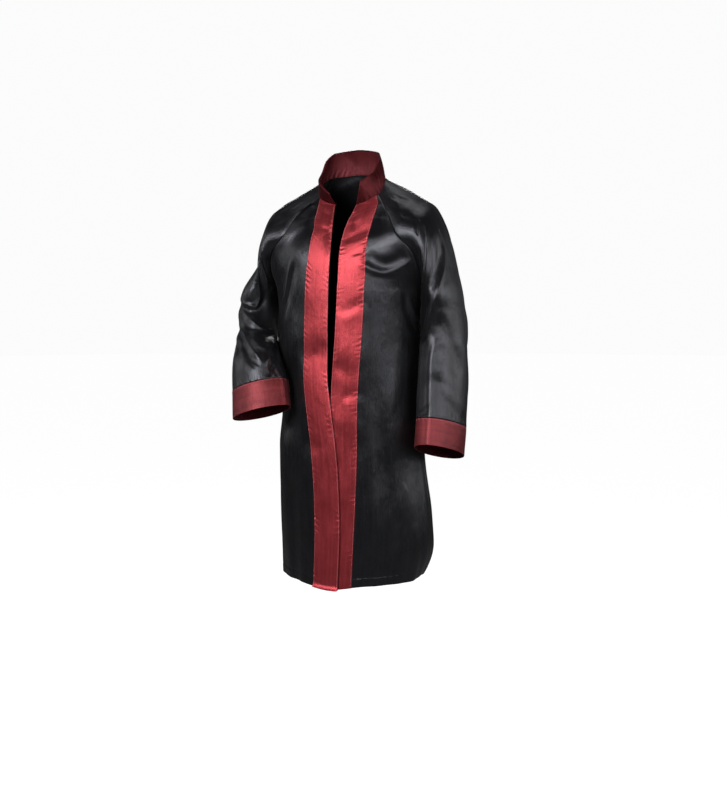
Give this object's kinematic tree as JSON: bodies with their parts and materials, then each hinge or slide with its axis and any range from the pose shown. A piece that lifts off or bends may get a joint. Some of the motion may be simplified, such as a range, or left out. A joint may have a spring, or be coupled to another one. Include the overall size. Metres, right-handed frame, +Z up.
{
  "type": "graduation gown",
  "caption": "Child's satin graduation gown in its hollow worn shape: stand collar, raglan sleeves, contrast front bands and cuffs, open front.",
  "frame": {"origin": "middle of the neck, level with the collar seam on the shoulders, where the wearer's neck and shoulders hold the gown up", "axes": "+Z up along the gown's length, -Y towards its front, +X towards its own left sleeve"},
  "size_m": [0.4851, 0.2831, 0.864],
  "materials": {
    "black_satin": "glossy satin weave",
    "burgundy_satin": "glossy satin weave"
  },
  "bodies": {
    "root": {"front_left": "black_satin", "front_right": "black_satin", "back": "black_satin", "sleeve_left": "black_satin", "sleeve_right": "black_satin", "band_left": "burgundy_satin", "band_right": "burgundy_satin", "cuff_left": "burgundy_satin", "cuff_right": "burgundy_satin", "collar": "burgundy_satin"}
  },
  "joints": []
}
